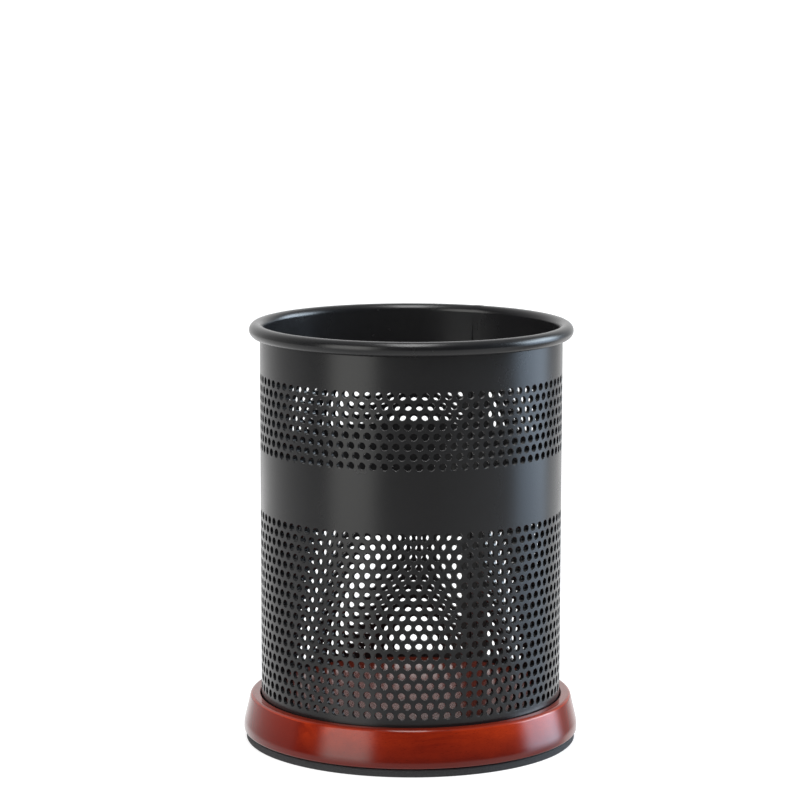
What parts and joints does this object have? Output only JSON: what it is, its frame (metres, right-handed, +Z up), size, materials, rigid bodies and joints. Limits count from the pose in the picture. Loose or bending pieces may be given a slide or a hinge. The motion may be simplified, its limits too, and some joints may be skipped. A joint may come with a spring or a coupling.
{
  "type": "pen holder cup",
  "caption": "Free-standing round desk cup for pens: black perforated steel sleeve with a curled rim, standing in a turned and varnished wooden base on a foam pad.",
  "frame": {"origin": "centre of the pad's underside, on the desk", "axes": "+Z up along the cup's axis, out of its mouth; X and Y are level, and the cup is the same all round apart from its four screws"},
  "size_m": [0.0896, 0.0896, 0.1123],
  "materials": {
    "black_paint": "satin",
    "varnished_wood": "gloss",
    "black_foam": "matte",
    "zinc_plate": "satin"
  },
  "bodies": {
    "root": {"perforated_sleeve": "black_paint", "wood_base": "varnished_wood", "floor_plug": "varnished_wood", "base_screw_1": "zinc_plate", "base_screw_2": "zinc_plate", "base_screw_3": "zinc_plate", "base_screw_4": "zinc_plate", "base_pad": "black_foam"}
  },
  "joints": []
}
